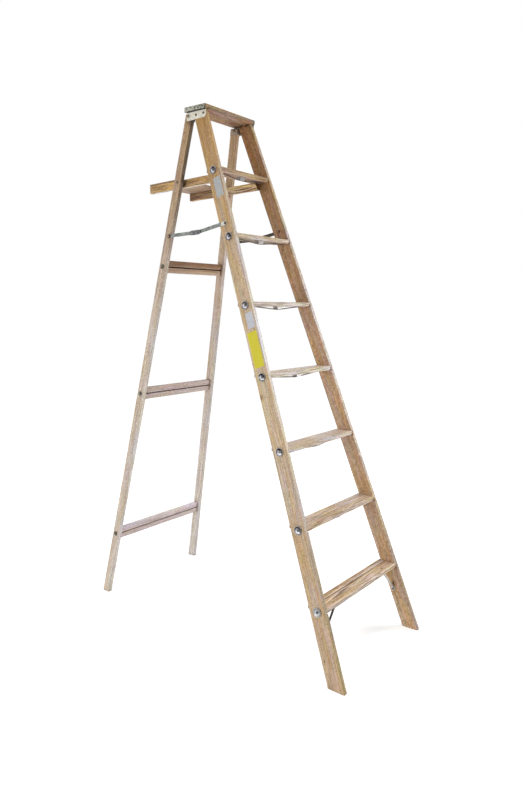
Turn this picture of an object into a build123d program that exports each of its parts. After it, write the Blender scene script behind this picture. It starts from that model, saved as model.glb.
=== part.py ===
from build123d import *
from math import asin, atan2, cos, hypot, radians, sin, sqrt, tan
import os

os.makedirs("parts", exist_ok=True)

# A wooden stepladder, standing open. X runs across it, the climbing side faces -Y, the floor is Z = 0.
# Lengths are millimetres, and Y = 0 is midway between the front and rear feet.

# Stance
foot_spread = 1435.0  # front of the side rails to back of the rear legs, at the floor
floor_width = 612.0  # across the outsides of the side rails, at the floor
top_width = 314.0  # the same, under the cap
rail_top = 2264.0  # height of the cap's underside, at its front edge
front_lean = radians(19.5)  # side rails, from upright
hinge_gap = 12.2  # level gap between rail and rear leg, at the hinge that joins them

# Side rails and rear legs
rail_depth = 68.5
rail_thickness = 19.0
leg_depth = 42.0
leg_thickness = 19.0
leg_inset = 1.5  # the legs stand this far inside the plane of the rails, to swing past the brackets
edge_radius = 1.5  # eased long edges
overcut = 30.0  # how far blanks and cuts run past the surface that they stop at
cutter_length = 2 * overcut  # of the round cutters for holes through one board or sheet

# Heads of nails, rivets and bolts
crown_share = 0.6  # radius of the flat crown, as a share of the head's radius
rim_share = 0.4  # height of the upright rim, as a share of the head's height
tail_share = 0.6  # height of a clenched end, as a share of the head's height

# Steps, numbered from the floor up
step_count = 7
step_spacing = 304.8  # along the rail
lowest_step_top = 284.3
step_depth = 82.0
step_thickness = 19.0
step_edge_radius = 2.5
dado_depth = 6.0  # the step ends are let into the rails by this much
dado_gap = 0.1

# Truss rods under the steps
rod_radius = 2.5
rod_setback = 36.5  # behind the front face of the rail
rod_rise = 3.3  # above the underside of the step, in a groove at the step's end
rod_groove_gap = 0.4
rod_dip = 15.2  # from there down to the block at mid step
rod_hole_gap = 0.15
rod_head_radius = 4.6
rod_head_height = 2.6
rod_head_gap = 0.25  # room for the slant between rod and washer
block_length = 36.0
block_foot_length = 26.0
block_depth = 24.0
block_gap = 0.1
block_bend_gap = 1.0  # the rod bends this far beyond the block's foot

# Cup washers under the rod heads
step_washer_radius = 17.5
step_washer_height = 4.4
rear_washer_radius = 10.5
rear_washer_height = 3.2
washer_floor_share = 0.64  # radius of the flat floor, as a share of the rim
washer_sheet = 1.4
washer_lip_share = 0.7  # width of the rim's edge, as a share of the sheet
washer_dish_share = 0.3  # inner floor drawn in by this share of the sheet
washer_bore_gap = 0.5

# Cap
cap_tilt = radians(2.5)  # its rear edge stands higher than its front edge
cap_end_overhang = 5.5  # beyond the rails
cap_front_overhang = 8.0  # ahead of the rails
cap_rear_overhang = 2.0  # behind the rear legs
cap_thickness = 19.0
cap_edge_radius = 3.0

# Hinge brackets: a flange on the cap's end, a ledge under its overhang, a plate on the rail
bracket_sheet = 2.0
bracket_drop = 36.0  # the plate hangs this far below the cap's front edge
bracket_margin = 2.0  # kept back from the cap's edges, and round the hinge pin's head
flange_setback = 4.5  # front of the flange behind the front of the cap
bracket_corner_radius = 9.0
bracket_rivet_margin = 14.0  # in from the rail's front and rear faces
bracket_rivet_drop = 18.0  # below the cap's front edge
bracket_rivet_radius = 3.0
bracket_rivet_head_radius = 5.5
bracket_rivet_head_height = 2.5
cap_nail_radius = 1.5
cap_nail_head_radius = 3.0
cap_nail_head_height = 1.2
cap_nail_length = 25.0
cap_nail_shares = (0.12, 0.5, 0.88)  # places along the cap's end
fixed_gap = 0.05  # round fasteners that stay put

# Hinge of the rear section
pivot_drop = 15.5  # below the cap's front edge
pivot_radius = 4.0
pivot_head_radius = 7.0
pivot_head_height = 3.0
running_gap = 0.06  # round pins that turn
pin_side_gap = 0.4  # between a bar or arm that turns and its pin's head or shoulder
slant_gap = 0.8  # between a square head and the flared surface beside it
leg_top_rise = 12.0  # of the leg above its pivot
leg_top_radius = 4.0
ferrule_sheet = 1.5
ferrule_height = 30.0

# Rear rails between the legs, with a tie rod sunk in a groove
rear_rail_heights = (306.0, 1011.0, 1603.0)  # of the tie rods, above the floor
rear_rail_height = 56.0
rear_rail_thickness = 19.0
rear_rail_setback = 11.0  # behind the front face of the leg
rear_rail_edge_radius = 1.5
mortise_depth = 5.0
mortise_gap = 0.5
groove_width = 6.0
groove_gap = 0.2
rear_rod_head_radius = 3.8
rear_rod_head_height = 2.0

# Spreader bars on the outer faces
spreader_front_height = 1763.0
spreader_rear_height = 1735.5
spreader_rear_setback = 10.0  # of the rear pivot behind the front face of the leg
spreader_split = 0.485  # share of the span taken by the front bar
spreader_sag = 12.0  # of the middle joint below the straight line, where it locks
spreader_sheet = 2.5
spreader_gap = 0.8  # between rail and front bar, and between the bars
spreader_half_width = 7.7
spreader_eye_radius = 9.0
spreader_pad_radius = 10.0
spreader_pad_front = 14.0  # pad's front end circle beyond the middle joint
spreader_pad_rear = 7.5  # pad's rear end circle beyond the second lap rivet
spreader_overlap = 23.0  # between the lap rivets
spreader_tail = 14.0
spreader_pin_radius = 3.0
spreader_head_radius = 6.5
spreader_head_height = 2.4
spreader_open_gap = 0.5  # round the middle joint
spreader_shoulder_radius = 7.0

# Pail shelf between the rear legs
shelf_side_gap = 2.4  # to the rear legs where they are nearest, with the shelf turned up
shelf_arm_thickness = 19.0
shelf_arm_height = 35.0
shelf_step_gap = 0.8  # arms to underside of the top step
shelf_tail = 226.5  # behind the pivot
shelf_nose_gap = 19.0  # arm's top front corner behind the rod of the top step
shelf_nose_slant = 17.0  # the arm's lower front corner reaches this much further
shelf_board_setback = 27.5  # front of the board behind the pivot
shelf_board_thickness = 8.0
shelf_bolt_radius = 4.0
shelf_bolt_head_radius = 6.5
shelf_bolt_head_height = 3.2
shelf_spacer_radius = 8.0
shelf_nut_height = 5.0
shelf_nail_radius = 1.2
shelf_nail_head_radius = 2.8
shelf_nail_head_height = 0.8
shelf_nail_length = 25.0
shelf_nail_shares = (0.12, 0.5, 0.88)  # places along the board

# Rod braces between the lowest step and the rails, with a flattened eye at each end
brace_radius = 4.2
brace_face_gap = 0.1  # rod to rail and step
brace_setback = 54.0  # of the lower eye behind the front face of the rail
brace_drop = 99.0  # lower eye below the step
brace_reach = 77.0  # bend under the step, in from the rail
brace_lean = radians(2.5)  # to the rear, from the lower eye up
brace_neck = 10.0  # lower eye to the bend above it
brace_tab = 18.0  # bend under the step to the upper eye
brace_bend_radius = 6.0
eye_radius = 9.5
eye_sheet = 3.0
eye_neck_gap = 0.3  # between the end of the rod and the screw's head
screw_radius = 2.0
screw_head_radius = 4.5
screw_head_height = 1.8
screw_length = 14.0

# Blank stickers on the outside of the left rail, placed by their start along the rail from the floor
sticker_sheet = 0.3
upper_sticker = dict(start=2002.0, length=88.0, width=40.0, setback=7.0)
middle_sticker = dict(start=1418.0, length=66.0, width=38.0, setback=7.0)
lower_sticker = dict(start=1253.0, length=150.0, width=50.0, setback=8.0)

flare = (floor_width - top_width) / 2 / rail_top
stretch = sqrt(1 + flare**2)  # slanted length of a flared face per unit of height
rail_run = rail_depth / cos(front_lean)  # level distance through a rail, front to back
hinge_height = rail_top - pivot_drop

# The rear legs run from the hinge, close behind the rails, to the rear end of the foot spread
leg_spread = foot_spread - hinge_height * tan(front_lean) - rail_run - hinge_gap
leg_slant = hypot(leg_spread, hinge_height)
rear_lean = atan2(leg_spread, hinge_height) - asin(leg_depth / leg_slant)  # from upright
leg_run = leg_depth / cos(rear_lean)
step_rise = step_spacing * cos(front_lean)
step_tops = [lowest_step_top + step_rise * count for count in range(step_count)]
rod_bend = block_foot_length / 2 + block_bend_gap


def half_width(height):
    """Half of the ladder's width across the rails."""
    return floor_width / 2 - flare * height


def half_inside(height):
    """Half of the clear width between the rails."""
    return half_width(height) - rail_thickness * stretch


def half_leg_inside(height):
    """Half of the clear width between the rear legs."""
    return half_width(height) - (leg_inset + leg_thickness) * stretch


def rail_front(height):
    """Y of the front face of the rails."""
    return height * tan(front_lean) - foot_spread / 2


def leg_middle(height):
    """Y of the middle line of the rear legs."""
    return foot_spread / 2 - leg_run / 2 - height * tan(rear_lean)


def on_face(y, height):
    """Place on a flared face, in the coordinates of left_face."""
    return (y, height * stretch)


def outer_planes(y, height, standoff=0.0):
    """Planes on the outer faces of both rails, facing outwards."""
    reach = half_width(height)
    return [
        Plane((side * reach, y, height), x_dir=(0, 1, 0), z_dir=(side, 0, flare)).offset(standoff)
        for side in (-1, 1)
    ]


def inner_planes(y, height, standoff=0.0):
    """Planes on the inner faces of both rails, facing inwards."""
    reach = half_inside(height)
    return [
        Plane((side * reach, y, height), x_dir=(0, 1, 0), z_dir=(-side, 0, -flare)).offset(standoff)
        for side in (-1, 1)
    ]


def cross_planes(y, height, reach):
    """Planes square to X on both sides, facing outwards, at the given distance from the middle."""
    return [Plane((side * reach, y, height), x_dir=(0, 1, 0), z_dir=(side, 0, 0)) for side in (-1, 1)]


def front_plane(y):
    """Upright plane across the ladder. A negative extrusion from it runs to the rear."""
    return Plane.XZ.offset(-y)


def turned(*profile):
    """Solid turned about Z from (radius, height) points."""
    with BuildPart() as solid:
        with BuildSketch(Plane.XZ):
            with BuildLine():
                Polyline(*profile, close=True)
            make_face()
        revolve(axis=Axis.Z)
    return solid.part


def fastener(radius, length, head_radius, head_height, seat=0.0):
    """Headed pin along Z. The head sits on Z = seat and the shank ends at Z = -length."""
    head_top = seat + head_height
    return turned(
        (0, head_top),
        (head_radius * crown_share, head_top),
        (head_radius, seat + head_height * rim_share),
        (head_radius, seat),
        (radius, seat),
        (radius, -length),
        (0, -length),
    )


def clenched(radius, grip, head_radius, head_height, seat=0.0, tail_gap=0.0):
    """Rivet along Z through a grip below Z = 0, with a head at each end."""
    tail = -grip - tail_gap
    head_top = seat + head_height
    return turned(
        (0, head_top),
        (head_radius * crown_share, head_top),
        (head_radius, seat + head_height * rim_share),
        (head_radius, seat),
        (radius, seat),
        (radius, tail),
        (head_radius, tail),
        (head_radius * crown_share, tail - head_height * tail_share),
        (0, tail - head_height * tail_share),
    )


def cup_washer(rim_radius, height):
    """Dished washer on Z = 0, open upwards."""
    floor_radius = rim_radius * washer_floor_share
    bore = rod_radius + washer_bore_gap
    return turned(
        (bore, 0),
        (floor_radius, 0),
        (rim_radius, height - washer_sheet * washer_lip_share),
        (rim_radius, height),
        (rim_radius - washer_sheet * washer_lip_share, height),
        (floor_radius - washer_sheet * washer_dish_share, washer_sheet),
        (bore, washer_sheet),
    )


def step_outline(top, end_gap=0.0, height_gap=0.0):
    """Front view of a step in the current sketch. Its ends follow the flare of the rails."""
    high = top + height_gap
    low = top - step_thickness - height_gap
    let_in = dado_depth * stretch + end_gap
    high_half = half_inside(high) + let_in
    low_half = half_inside(low) + let_in
    Polygon((-low_half, low), (low_half, low), (high_half, high), (-high_half, high), align=None)


def rod_depth(top):
    """Y of the truss rod of a step."""
    return rail_front(top - step_thickness) + rod_setback


def rod_saddle(top):
    """Height of the rod's middle stretch."""
    return top - step_thickness + rod_rise - rod_dip


def rod_slope(top):
    """Rise of the rod from the block towards the rail, per unit of X."""
    step_end = half_inside(top - step_thickness) + dado_depth * stretch
    return rod_dip / (step_end - rod_bend)


def rod_height(top, x):
    """Height of the rod where it leaves the block and beyond."""
    return rod_saddle(top) + rod_slope(top) * (abs(x) - rod_bend)


def rod_groove_outline(top):
    """Front view of the grooves that clear the rod at a step's ends, in the current sketch."""
    under = top - step_thickness
    clearance = rod_radius + rod_groove_gap
    start = rod_bend + (under - clearance - rod_saddle(top)) / rod_slope(top)
    end = half_width(under)
    Polygon((start, under), (end, under), (end, rod_height(top, end) + clearance), align=None)
    mirror(about=Plane.YZ)


def rod_crossing(top):
    """Distance from the middle at which the rod comes out of the rail."""
    slope = rod_slope(top)
    level = rod_saddle(top) - slope * rod_bend
    return (floor_width / 2 - flare * level) / (1 + flare * slope)


def rod_exits(top):
    """Planes on the outer faces where the rod comes out."""
    return outer_planes(rod_depth(top), rod_height(top, rod_crossing(top)))


def rod_end_planes(top, reach):
    """Planes across the rod on both sides, facing outwards along it."""
    return [
        Plane((side * reach, rod_depth(top), rod_height(top, reach)), z_dir=(side, 0, rod_slope(top)))
        for side in (-1, 1)
    ]


def save(piece, name):
    """Label a finished piece and write it."""
    piece.part.label = name
    export_step(piece.part, f"parts/{name}.step")


left_face = Plane((-floor_width / 2, 0, 0), x_dir=(0, 1, 0), z_dir=(1, 0, -flare))
left_leg_face = left_face.offset(leg_inset)
across_board = Axis((0, 0, 0), left_face.z_dir)

hinge_y = leg_middle(hinge_height)
bracket_rivet_height = rail_top - bracket_rivet_drop
bracket_rivet_places = [
    rail_front(bracket_rivet_height) + bracket_rivet_margin,
    rail_front(bracket_rivet_height) + rail_run - bracket_rivet_margin,
]
cap_length = top_width + 2 * cap_end_overhang
cap_front = rail_front(rail_top) - cap_front_overhang
cap_depth = leg_middle(rail_top) + leg_run / 2 + cap_rear_overhang - cap_front
cap_bed = Plane((0, cap_front, rail_top), x_dir=(1, 0, 0), z_dir=(0, -sin(cap_tilt), cos(cap_tilt)))


def on_cap(along, above):
    """Y and height of a place on the cap, along from its lower front edge and above its underside."""
    y = cap_front + along * cos(cap_tilt) - above * sin(cap_tilt)
    height = rail_top + along * sin(cap_tilt) + above * cos(cap_tilt)
    return (y, height)


cap_nail_places = [on_cap(cap_depth * share, cap_thickness / 2) for share in cap_nail_shares]

spreader_front = (rail_front(spreader_front_height) + rail_run / 2, spreader_front_height)
spreader_rear_y = leg_middle(spreader_rear_height) - leg_run / 2 + spreader_rear_setback
spreader_rear = (spreader_rear_y, spreader_rear_height)
spreader_span = (spreader_rear[0] - spreader_front[0], spreader_rear[1] - spreader_front[1])
spreader_length = hypot(*spreader_span)
sag_share = spreader_sag / spreader_length
spreader_middle = (
    spreader_front[0] + spreader_split * spreader_span[0] + sag_share * spreader_span[1],
    spreader_front[1] + spreader_split * spreader_span[1] - sag_share * spreader_span[0],
)

shelf_arm_top = step_tops[-1] - step_thickness - shelf_step_gap
shelf_height = shelf_arm_top - shelf_arm_height / 2
shelf_y = leg_middle(shelf_height)
shelf_nose = rod_depth(step_tops[-1]) + shelf_nose_gap
shelf_half_width = half_leg_inside(shelf_height + shelf_tail) - shelf_side_gap
shelf_board_front = shelf_y + shelf_board_setback
shelf_board_length = shelf_tail - shelf_board_setback
shelf_nail_places = [shelf_board_front + shelf_board_length * share for share in shelf_nail_shares]
shelf_nail_reach = shelf_half_width - shelf_arm_thickness / 2
shelf_nail_seat = shelf_nail_head_height - shelf_board_thickness  # the heads lie flush with the board

brace_step = step_tops[0] - step_thickness
lower_eye = brace_step - brace_drop
brace_y = rail_front(lower_eye) + brace_setback
rod_off = brace_radius + brace_face_gap
brace_plane = Plane(
    (0, brace_y, lower_eye), x_dir=(1, 0, 0), z_dir=(0, -cos(brace_lean), sin(brace_lean))
)
brace_bend = half_inside(brace_step) - brace_reach
upper_eye = brace_bend - brace_tab
upper_eye_y = brace_y + (brace_drop - rod_off) * tan(brace_lean)
screw_bite = screw_length - eye_sheet


def on_brace_plane(x, height):
    """Place on the leaning plane of the brace rods."""
    return (x, (height - lower_eye) / cos(brace_lean))


def under_step_planes(standoff=0.0):
    """Planes under the lowest step, facing down, where the braces are screwed to it."""
    return [
        Plane((side * upper_eye, upper_eye_y, brace_step), z_dir=(0, 0, -1)).offset(standoff)
        for side in (-1, 1)
    ]


def toward(start, end, distance):
    """Point at a distance from start, on the line to end."""
    length = hypot(end[0] - start[0], end[1] - start[1])
    share = distance / length
    return (start[0] + (end[0] - start[0]) * share, start[1] + (end[1] - start[1]) * share)


def leg_point(ahead, above):
    """Place on the leg's face, measured from its hinge across and along the leg."""
    y = hinge_y - ahead * cos(rear_lean) - above * sin(rear_lean)
    height = hinge_height - ahead * sin(rear_lean) + above * cos(rear_lean)
    return on_face(y, height)


def leg_slope_plane(height, ahead):
    """Plane across the rear section, square to the legs' front face, at a height on the leg."""
    y = leg_middle(height) - ahead * cos(rear_lean)
    level = height - ahead * sin(rear_lean)
    return Plane((0, y, level), x_dir=(1, 0, 0), z_dir=(0, -cos(rear_lean), -sin(rear_lean)))


def rear_rail_outline(plane, end_gap=0.0, edge_gap=0.0):
    """Front view of a rear rail in the current sketch. Its ends follow the flare of the legs."""
    half_height = rear_rail_height / 2 + edge_gap
    high = plane.origin.Z + half_height * cos(rear_lean)
    low = plane.origin.Z - half_height * cos(rear_lean)
    let_in = mortise_depth * stretch + end_gap
    high_half = half_leg_inside(high) + let_in
    low_half = half_leg_inside(low) + let_in
    Polygon(
        (-low_half, -half_height),
        (low_half, -half_height),
        (high_half, half_height),
        (-high_half, half_height),
        align=None,
    )


# Side rails: flared boards with a dado for each step and a hole for each rod
with BuildPart() as left_side_rail:
    with BuildSketch(left_face):
        with BuildLine():
            Polyline(
                on_face(rail_front(-overcut), -overcut),
                on_face(rail_front(-overcut) + rail_run, -overcut),
                on_face(rail_front(rail_top + overcut) + rail_run, rail_top + overcut),
                on_face(rail_front(rail_top + overcut), rail_top + overcut),
                close=True,
            )
        make_face()
    extrude(amount=rail_thickness)
    long_edges = left_side_rail.edges().filter_by(across_board, reverse=True).sort_by(SortBy.LENGTH)[-4:]
    fillet(long_edges, edge_radius)
    split(bisect_by=Plane.XY, keep=Keep.TOP)
    split(bisect_by=cap_bed, keep=Keep.BOTTOM)
    for top in step_tops:
        with BuildSketch(front_plane(rail_front(top) - overcut)):
            step_outline(top, dado_gap, dado_gap)
        extrude(amount=-(rail_run + 2 * overcut), mode=Mode.SUBTRACT)
        with Locations(*rod_end_planes(top, rod_crossing(top))):
            Cylinder(rod_radius + rod_hole_gap, 2 * (rail_thickness + overcut), mode=Mode.SUBTRACT)
    with Locations(*[outer_planes(y, bracket_rivet_height)[0] for y in bracket_rivet_places]):
        Hole(bracket_rivet_radius + fixed_gap)
    with Locations(outer_planes(*spreader_front)[0]):
        Hole(spreader_pin_radius + fixed_gap)
    with Locations(inner_planes(brace_y, lower_eye)[0]):
        Hole(screw_radius + fixed_gap, screw_bite + fixed_gap)
save(left_side_rail, "left_side_rail")

with BuildPart() as right_side_rail:
    mirror(left_side_rail.part, about=Plane.YZ)
save(right_side_rail, "right_side_rail")

# Steps, with a steel truss rod under each, let into the step at its ends
for number, top in enumerate(step_tops, start=1):
    with BuildPart() as step:
        with BuildSketch(front_plane(rail_front(top))):
            step_outline(top)
        extrude(amount=-step_depth)
        fillet(step.edges().filter_by(Axis.X), step_edge_radius)
        groove_half = rod_radius + rod_groove_gap
        with BuildSketch(front_plane(rod_depth(top) - groove_half)):
            rod_groove_outline(top)
        extrude(amount=-2 * groove_half, mode=Mode.SUBTRACT)
        if number == 1:
            with Locations(*under_step_planes()):
                Hole(screw_radius + fixed_gap, screw_bite + fixed_gap)
    save(step, f"step_{number}")

    reach = rod_crossing(top) + washer_sheet + rod_head_gap
    with BuildPart() as truss_rod:
        with BuildLine():
            Polyline(
                (-reach, rod_depth(top), rod_height(top, reach)),
                (-rod_bend, rod_depth(top), rod_saddle(top)),
                (rod_bend, rod_depth(top), rod_saddle(top)),
                (reach, rod_depth(top), rod_height(top, reach)),
            )
        with BuildSketch(rod_end_planes(top, reach)[0]):
            Circle(rod_radius)
        sweep(transition=Transition.RIGHT)
        with Locations(*rod_end_planes(top, reach)):
            Cylinder(rod_head_radius, rod_head_height, align=(Align.CENTER, Align.CENTER, Align.MIN))
    save(truss_rod, f"truss_rod_{number}")

# Pressed blocks that hold the rods off the steps
with BuildPart() as truss_blocks:
    for top in step_tops:
        under = top - step_thickness
        saddle = rod_saddle(top)
        with BuildSketch(front_plane(rod_depth(top) - block_depth / 2)):
            Polygon(
                (-block_foot_length / 2, saddle),
                (block_foot_length / 2, saddle),
                (block_length / 2, under),
                (-block_length / 2, under),
                align=None,
            )
        extrude(amount=-block_depth)
        with Locations(Plane((0, rod_depth(top), saddle), z_dir=(1, 0, 0))):
            Cylinder(rod_radius + block_gap, 2 * block_length, mode=Mode.SUBTRACT)
save(truss_blocks, "truss_blocks")

step_washer = cup_washer(step_washer_radius, step_washer_height)
with BuildPart() as step_rod_washers:
    for top in step_tops:
        with Locations(*rod_exits(top)):
            add(step_washer)
save(step_rod_washers, "step_rod_washers")

# Cap, nailed through the bracket flanges at its ends
with BuildPart() as top_cap:
    with BuildSketch(cap_bed):
        with Locations((0, cap_depth / 2)):
            Rectangle(cap_length, cap_depth)
    extrude(amount=cap_thickness)
    fillet(top_cap.edges().filter_by(Axis.X), cap_edge_radius)
    for place in cap_nail_places:
        for plane in cross_planes(*place, cap_length / 2):
            with Locations(plane):
                Hole(cap_nail_radius + fixed_gap, cap_nail_length)
save(top_cap, "top_cap")

# Hinge brackets, bent from sheet: an angle along the cap's end, and a plate down the rail
flange_height = cap_thickness - bracket_margin
flange_length = cap_depth - flange_setback - bracket_margin
flange_outside = cap_length / 2 + bracket_sheet
ledge_inside = half_width(rail_top - bracket_sheet)
flange_plane = Plane(
    (0, *on_cap(flange_setback, 0)),
    x_dir=(1, 0, 0),
    z_dir=(0, -cos(cap_tilt), -sin(cap_tilt)),
)
plate_front = cap_front + bracket_margin
plate_rear = hinge_y + pivot_head_radius + bracket_margin
plate_foot = rail_top - bracket_drop
with BuildPart() as left_hinge_bracket:
    with BuildSketch(flange_plane):
        Polygon(
            (-flange_outside, flange_height),
            (-flange_outside, -bracket_sheet),
            (-ledge_inside, -bracket_sheet),
            (-ledge_inside, 0),
            (-cap_length / 2, 0),
            (-cap_length / 2, flange_height),
            align=None,
        )
    extrude(amount=-flange_length)
    with BuildSketch(left_face):
        with BuildLine():
            Polyline(
                on_face(plate_front, plate_foot),
                on_face(plate_rear, plate_foot),
                on_face(plate_rear, on_cap(plate_rear - cap_front, -bracket_sheet / 2)[1]),
                on_face(plate_front, on_cap(plate_front - cap_front, -bracket_sheet / 2)[1]),
                close=True,
            )
        make_face()
    extrude(amount=-bracket_sheet)
    fillet(left_hinge_bracket.edges().filter_by(across_board).sort_by(Axis.Z)[:2], bracket_corner_radius)
    with Locations(*[outer_planes(y, bracket_rivet_height)[0] for y in bracket_rivet_places]):
        Cylinder(bracket_rivet_radius + fixed_gap, cutter_length, mode=Mode.SUBTRACT)
    with Locations(cross_planes(hinge_y, hinge_height, half_width(hinge_height))[0]):
        Cylinder(pivot_radius + fixed_gap, cutter_length, mode=Mode.SUBTRACT)
    with Locations(*[cross_planes(*place, cap_length / 2)[0] for place in cap_nail_places]):
        Cylinder(cap_nail_radius + fixed_gap, cutter_length, mode=Mode.SUBTRACT)
save(left_hinge_bracket, "left_hinge_bracket")

with BuildPart() as right_hinge_bracket:
    mirror(left_hinge_bracket.part, about=Plane.YZ)
save(right_hinge_bracket, "right_hinge_bracket")

bracket_rivet = clenched(
    bracket_rivet_radius,
    bracket_sheet + rail_thickness,
    bracket_rivet_head_radius,
    bracket_rivet_head_height,
)
with BuildPart() as bracket_rivets:
    for y in bracket_rivet_places:
        with Locations(*outer_planes(y, bracket_rivet_height, bracket_sheet)):
            add(bracket_rivet)
save(bracket_rivets, "bracket_rivets")

cap_nail = fastener(cap_nail_radius, cap_nail_length, cap_nail_head_radius, cap_nail_head_height)
with BuildPart() as cap_nails:
    for place in cap_nail_places:
        with Locations(*cross_planes(*place, flange_outside)):
            add(cap_nail)
save(cap_nails, "cap_nails")

# Rear legs, hung on the brackets by a pin at the top
with BuildPart() as left_rear_leg:
    with BuildSketch(left_leg_face):
        with BuildLine():
            Polyline(
                on_face(leg_middle(-overcut) - leg_run / 2, -overcut),
                on_face(leg_middle(-overcut) + leg_run / 2, -overcut),
                leg_point(-leg_depth / 2, leg_top_rise),
                leg_point(leg_depth / 2, leg_top_rise),
                close=True,
            )
        make_face()
    extrude(amount=leg_thickness)
    fillet(left_rear_leg.edges().filter_by(across_board).sort_by(Axis.Z)[-2:], leg_top_radius)
    long_edges = left_rear_leg.edges().filter_by(across_board, reverse=True).sort_by(SortBy.LENGTH)[-4:]
    fillet(long_edges, edge_radius)
    split(bisect_by=Plane.XY, keep=Keep.TOP)
    for height in rear_rail_heights:
        plane = leg_slope_plane(height, leg_depth / 2 - rear_rail_setback + dado_gap)
        with BuildSketch(plane):
            rear_rail_outline(plane, mortise_gap, dado_gap)
        extrude(amount=-(rear_rail_thickness + 2 * dado_gap), mode=Mode.SUBTRACT)
        with Locations(cross_planes(leg_middle(height), height, half_width(height))[0]):
            Cylinder(rod_radius + rod_hole_gap, cutter_length, mode=Mode.SUBTRACT)
    with Locations(cross_planes(hinge_y, hinge_height, half_width(hinge_height))[0]):
        Cylinder(pivot_radius + running_gap, cutter_length, mode=Mode.SUBTRACT)
    with Locations(cross_planes(shelf_y, shelf_height, half_width(shelf_height))[0]):
        Cylinder(shelf_bolt_radius + fixed_gap, cutter_length, mode=Mode.SUBTRACT)
    with Locations(outer_planes(*spreader_rear, -leg_inset)[0]):
        Hole(spreader_pin_radius + fixed_gap)
save(left_rear_leg, "left_rear_leg")

with BuildPart() as right_rear_leg:
    mirror(left_rear_leg.part, about=Plane.YZ)
save(right_rear_leg, "right_rear_leg")

# Sheet ferrules round the inner and front faces of the leg tops
with BuildPart() as left_leg_ferrule:
    with BuildSketch(left_leg_face):
        with BuildLine():
            Polyline(
                leg_point(leg_depth / 2, leg_top_rise - ferrule_height),
                leg_point(leg_depth / 2, leg_top_rise - leg_top_radius),
                leg_point(leg_depth / 2 + ferrule_sheet, leg_top_rise - leg_top_radius),
                leg_point(leg_depth / 2 + ferrule_sheet, leg_top_rise - ferrule_height),
                close=True,
            )
        make_face()
    extrude(amount=leg_thickness)
    with BuildSketch(left_leg_face.offset(leg_thickness)):
        with BuildLine():
            Polyline(
                leg_point(-leg_depth / 2, leg_top_rise - ferrule_height),
                leg_point(-leg_depth / 2, leg_top_rise - leg_top_radius),
                leg_point(leg_depth / 2 + ferrule_sheet, leg_top_rise - leg_top_radius),
                leg_point(leg_depth / 2 + ferrule_sheet, leg_top_rise - ferrule_height),
                close=True,
            )
        make_face()
    extrude(amount=ferrule_sheet)
    with Locations(cross_planes(hinge_y, hinge_height, half_leg_inside(hinge_height))[0]):
        Cylinder(pivot_radius + running_gap, cutter_length, mode=Mode.SUBTRACT)
save(left_leg_ferrule, "left_leg_ferrule")

with BuildPart() as right_leg_ferrule:
    mirror(left_leg_ferrule.part, about=Plane.YZ)
save(right_leg_ferrule, "right_leg_ferrule")

hinge_outside = half_width(hinge_height) + bracket_sheet * stretch
hinge_grip = hinge_outside - half_leg_inside(hinge_height) + ferrule_sheet * stretch
hinge_pin = clenched(pivot_radius, hinge_grip, pivot_head_radius, pivot_head_height, slant_gap, slant_gap)
with BuildPart() as hinge_pivot_rivets:
    with Locations(*cross_planes(hinge_y, hinge_height, hinge_outside)):
        add(hinge_pin)
save(hinge_pivot_rivets, "hinge_pivot_rivets")

# Rear rails, each with a tie rod lying in a groove along its front
for number, height in enumerate(rear_rail_heights, start=1):
    plane = leg_slope_plane(height, leg_depth / 2 - rear_rail_setback)
    rod_sink = leg_depth / 2 - rear_rail_setback  # of the tie rod behind the rear rail's front face
    with BuildPart() as rear_rail:
        with BuildSketch(plane):
            rear_rail_outline(plane)
        extrude(amount=-rear_rail_thickness)
        fillet(rear_rail.edges().filter_by(Axis.X), rear_rail_edge_radius)
        with BuildSketch(plane):
            Rectangle(floor_width, groove_width)
        extrude(amount=-(rod_sink + rod_radius + groove_gap), mode=Mode.SUBTRACT)
    save(rear_rail, f"rear_rail_{number}")

    reach = half_width(height) - leg_inset * stretch + washer_sheet + rod_head_gap
    with BuildPart() as rear_rod:
        with Locations(Plane((0, leg_middle(height), height), z_dir=(1, 0, 0))):
            Cylinder(rod_radius, 2 * reach)
        with Locations(*cross_planes(leg_middle(height), height, reach)):
            Cylinder(
                rear_rod_head_radius, rear_rod_head_height, align=(Align.CENTER, Align.CENTER, Align.MIN)
            )
    save(rear_rod, f"rear_rod_{number}")

rear_washer = cup_washer(rear_washer_radius, rear_washer_height)
with BuildPart() as rear_rod_washers:
    for height in rear_rail_heights:
        with Locations(*outer_planes(leg_middle(height), height, -leg_inset)):
            add(rear_washer)
save(rear_rod_washers, "rear_rod_washers")

# Spreaders: a front bar on each rail and a rear bar on each leg, lapped at the middle
front_bar_inside = spreader_gap
rear_bar_inside = front_bar_inside + spreader_sheet + spreader_gap
front_bar_tail = toward(spreader_middle, spreader_front, -spreader_tail)
front_bar_eye = toward(spreader_front, spreader_middle, spreader_eye_radius)
with BuildPart() as left_spreader_front_bar:
    with BuildSketch(left_face.offset(-front_bar_inside)):
        for end in (spreader_front, front_bar_tail):
            with Locations(on_face(*end)):
                Circle(spreader_half_width)
        make_hull()
        for end in (spreader_front, front_bar_eye):
            with Locations(on_face(*end)):
                Circle(spreader_eye_radius)
        with Locations(on_face(*spreader_front)):
            Circle(spreader_pin_radius + running_gap, mode=Mode.SUBTRACT)
        with Locations(on_face(*spreader_middle)):
            Circle(spreader_pin_radius + spreader_open_gap, mode=Mode.SUBTRACT)
    extrude(amount=-spreader_sheet)
save(left_spreader_front_bar, "left_spreader_front_bar")

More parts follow.
